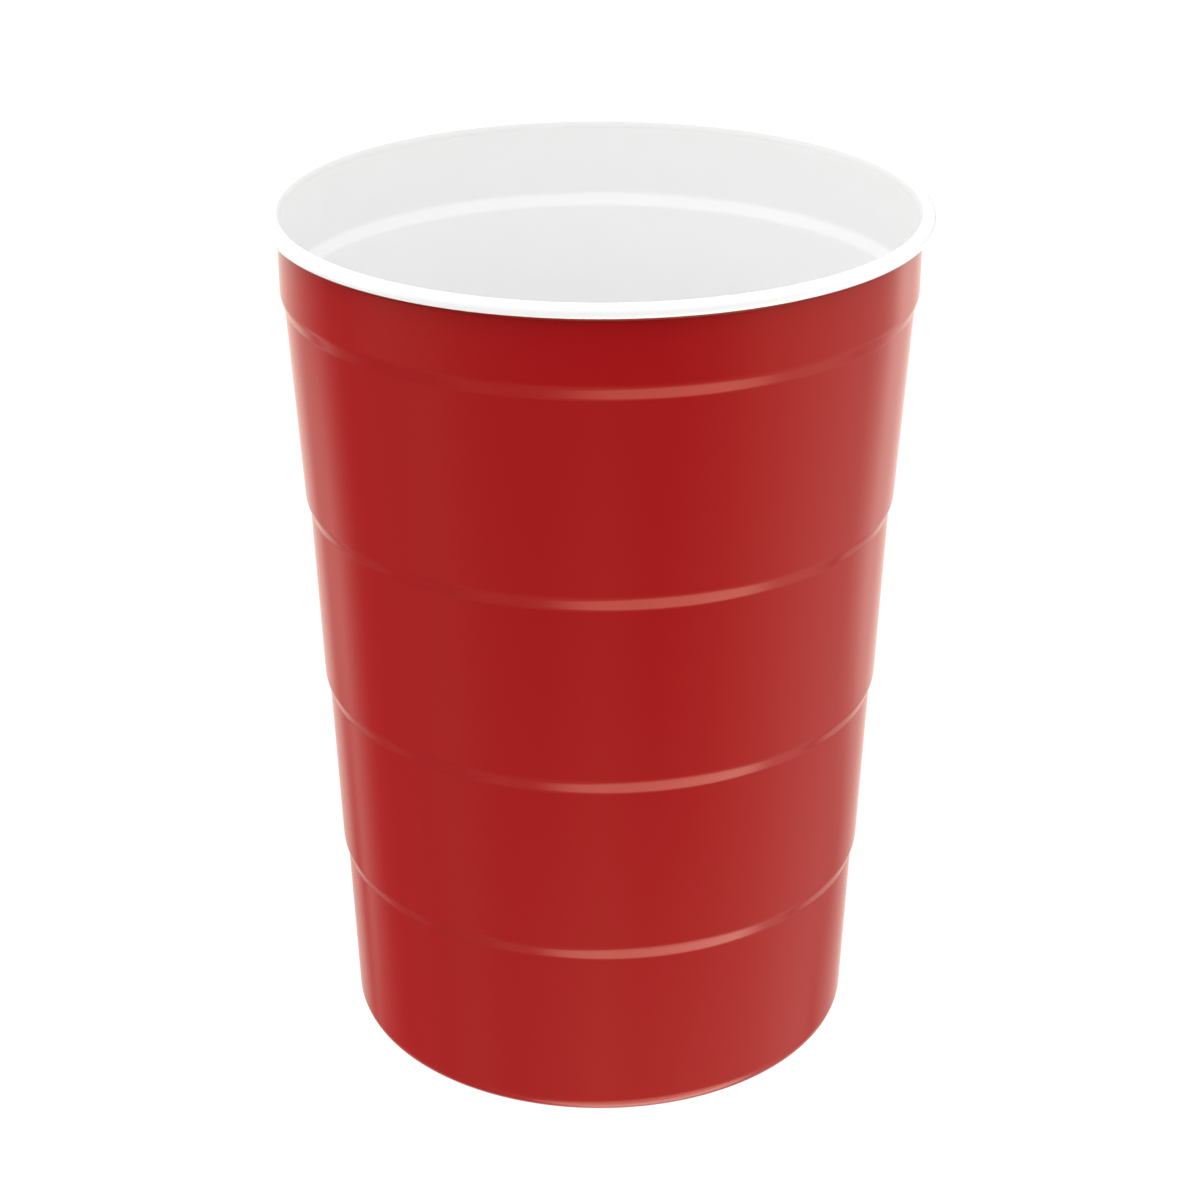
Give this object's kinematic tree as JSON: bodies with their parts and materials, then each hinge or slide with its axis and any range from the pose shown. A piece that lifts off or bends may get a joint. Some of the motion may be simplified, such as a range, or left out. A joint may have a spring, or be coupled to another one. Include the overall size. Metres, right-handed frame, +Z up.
{
  "type": "steel party cup",
  "caption": "Tapered drinking cup pressed from one steel sheet, with a stepped wall, an outward rolled rim and a raised base panel inside a foot ring; red outside, white inside.",
  "frame": {"origin": "on the cup's axis, in the plane that the foot ring stands on", "axes": "+Z up along the cup's axis, from the foot to the mouth; the cup is the same all round, so X and Y are free"},
  "size_m": [0.0892, 0.0892, 0.1208],
  "materials": {
    "red_enamel": "gloss",
    "white_enamel": "gloss"
  },
  "bodies": {
    "root": {"cup": "red_enamel"}
  },
  "joints": []
}
